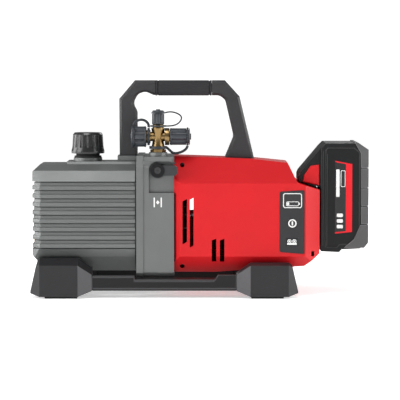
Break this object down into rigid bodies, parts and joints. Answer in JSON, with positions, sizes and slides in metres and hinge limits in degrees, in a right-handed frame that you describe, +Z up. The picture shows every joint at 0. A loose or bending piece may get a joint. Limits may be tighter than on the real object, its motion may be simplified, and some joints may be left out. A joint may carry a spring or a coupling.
{
  "type": "vacuum pump",
  "caption": "Battery powered two-stage rotary vane vacuum pump with finned oil tank, brass intake, carrying handle and slide-on pack.",
  "frame": {"origin": "on the floor under the middle of the pump's overall box", "axes": "+X towards the battery pack, -Y towards the side with the buttons and the valve lever, +Z up"},
  "size_m": [0.418, 0.156, 0.267],
  "materials": {
    "grey_casting": "satin, cast texture",
    "dark_metal": "machined",
    "steel": "machined",
    "zinc_screws": "dark plated",
    "seal_rubber": "matte",
    "clear_plastic": "clear",
    "brass": "machined",
    "black_gloss": "glossy",
    "cap_plastic": "satin",
    "strap_plastic": "flexible moulding",
    "charcoal": "fine texture",
    "grip_plastic": "ribbed",
    "red_plastic": "satin",
    "panel_plastic": "satin",
    "screen_glass": "glossy",
    "button_plastic": "satin",
    "pack_plastic": "textured",
    "guard_plastic": "overmoulded",
    "base_plastic": "textured",
    "copper": "enamelled wire",
    "foam": "open cell",
    "circuit_board": "lacquered",
    "lever_plastic": "satin"
  },
  "bodies": {
    "pump": {"base_frame": "base_plastic", "battery_rail": "charcoal", "battery_terminals": "brass", "casting_bolts": "zinc_screws", "casting_seals": "seal_rubber", "clear_lenses": "clear_plastic", "control_panel": "panel_plastic", "demister": "foam", "drain_plug": "brass", "electronics": "circuit_board", "exhaust_valve": "steel", "feet": "base_plastic", "foot_pads": "seal_rubber", "handle_fasteners": "zinc_screws", "handle_front": "charcoal", "handle_grip": "grip_plastic", "handle_rear": "charcoal", "intake_manifold": "brass", "left_strap": "strap_plastic", "motor_bearings": "steel", "motor_frame": "dark_metal", "motor_housing_front": "red_plastic", "motor_housing_rear": "red_plastic", "motor_stator": "dark_metal", "motor_windings": "copper", "oil_reservoir": "grey_casting", "pump_housing": "grey_casting", "pump_plates": "dark_metal", "pump_stators": "dark_metal", "right_strap": "strap_plastic", "screen": "screen_glass", "self_tapping_screws": "zinc_screws", "sight_bezel": "dark_metal", "top_strap": "strap_plastic"},
    "valve_handle": {"valve_lever": "lever_plastic", "lever_screw": "zinc_screws", "valve_spindle": "brass"},
    "power_key": {"power_button": "button_plastic"},
    "lamp_key": {"lamp_button": "button_plastic"},
    "battery_pack": {"battery_case": "pack_plastic", "battery_head": "pack_plastic", "battery_bumper": "guard_plastic", "battery_cells": "steel", "pack_frame": "charcoal"},
    "latch_front": {"battery_latch_front": "red_plastic"},
    "latch_rear": {"battery_latch_rear": "red_plastic"},
    "oil_cap_seal": {"oil_cap_gasket": "seal_rubber"},
    "oil_cap_body": {"oil_cap": "black_gloss"},
    "left_cap_eye": {"left_cap_ring": "strap_plastic"},
    "left_cap_body": {"left_cap": "cap_plastic"},
    "right_cap_eye": {"right_cap_ring": "strap_plastic"},
    "right_cap_body": {"right_cap": "cap_plastic"},
    "top_cap_eye": {"top_cap_ring": "strap_plastic"},
    "top_cap_body": {"top_cap": "cap_plastic"},
    "drive_train": {"drive_shafts": "steel", "coupling": "dark_metal", "cooling_fan": "charcoal", "motor_rotor": "steel", "pump_rotors": "steel", "vanes": "black_gloss"}
  },
  "joints": [
    {"name": "valve_turn", "type": "hinge", "parent": "pump", "child": "valve_handle", "pos_m": [-0.052, -0.05, 0.157], "axis": [0, 1, 0], "range_deg": [0, 90]},
    {"name": "power_press", "type": "slide", "parent": "pump", "child": "power_key", "axis": [0, 1, 0], "range_m": [0, 0.0008], "stiffness_N_per_m": 900},
    {"name": "lamp_press", "type": "slide", "parent": "pump", "child": "lamp_key", "axis": [0, 1, 0], "range_m": [0, 0.0008], "stiffness_N_per_m": 900},
    {"name": "battery_slide", "type": "slide", "parent": "pump", "child": "battery_pack", "axis": [0, 0, 1], "range_m": [0, 0.076]},
    {"name": "latch_front_press", "type": "slide", "parent": "battery_pack", "child": "latch_front", "axis": [0, 1, 0], "range_m": [0, 0.0025], "stiffness_N_per_m": 900},
    {"name": "latch_rear_press", "type": "slide", "parent": "battery_pack", "child": "latch_rear", "axis": [0, -1, 0], "range_m": [0, 0.0025], "stiffness_N_per_m": 900},
    {"name": "drive_spin", "type": "hinge", "parent": "pump", "child": "drive_train", "pos_m": [0, 0, 0.098], "axis": [1, 0, 0], "continuous": true},
    {"name": "oil_cap_lift", "type": "slide", "parent": "pump", "child": "oil_cap_seal", "axis": [0, 0, 1], "range_m": [0, 0.012]},
    {"name": "oil_cap_turn", "type": "hinge", "parent": "oil_cap_seal", "child": "oil_cap_body", "pos_m": [-0.141, 0, 0.188], "axis": [0, 0, 1], "range_deg": [0, 1081]},
    {"name": "left_cap_lift", "type": "slide", "parent": "pump", "child": "left_cap_eye", "axis": [-1, 0, 0], "range_m": [0, 0.00762], "deforming": ["left_strap"]},
    {"name": "left_cap_turn", "type": "hinge", "parent": "left_cap_eye", "child": "left_cap_body", "pos_m": [-0.075, -0.032, 0.1975], "axis": [-1, 0, 0], "range_deg": [0, 2161]},
    {"name": "right_cap_lift", "type": "slide", "parent": "pump", "child": "right_cap_eye", "axis": [1, 0, 0], "range_m": [0, 0.00762], "deforming": ["right_strap"]},
    {"name": "right_cap_turn", "type": "hinge", "parent": "right_cap_eye", "child": "right_cap_body", "pos_m": [-0.025, -0.032, 0.1975], "axis": [1, 0, 0], "range_deg": [0, 2161]},
    {"name": "top_cap_lift", "type": "slide", "parent": "pump", "child": "top_cap_eye", "axis": [0, 0, 1], "range_m": [0, 0.00762], "deforming": ["top_strap"]},
    {"name": "top_cap_turn", "type": "hinge", "parent": "top_cap_eye", "child": "top_cap_body", "pos_m": [-0.052, -0.032, 0.22], "axis": [0, 0, 1], "range_deg": [0, 2161]}
  ],
  "couplings": [
    {"joint": "oil_cap_turn", "follows": "oil_cap_lift", "rad_per_m": 1570.8},
    {"joint": "left_cap_turn", "follows": "left_cap_lift", "rad_per_m": 4947.4},
    {"joint": "right_cap_turn", "follows": "right_cap_lift", "rad_per_m": 4947.4},
    {"joint": "top_cap_turn", "follows": "top_cap_lift", "rad_per_m": 4947.4}
  ]
}
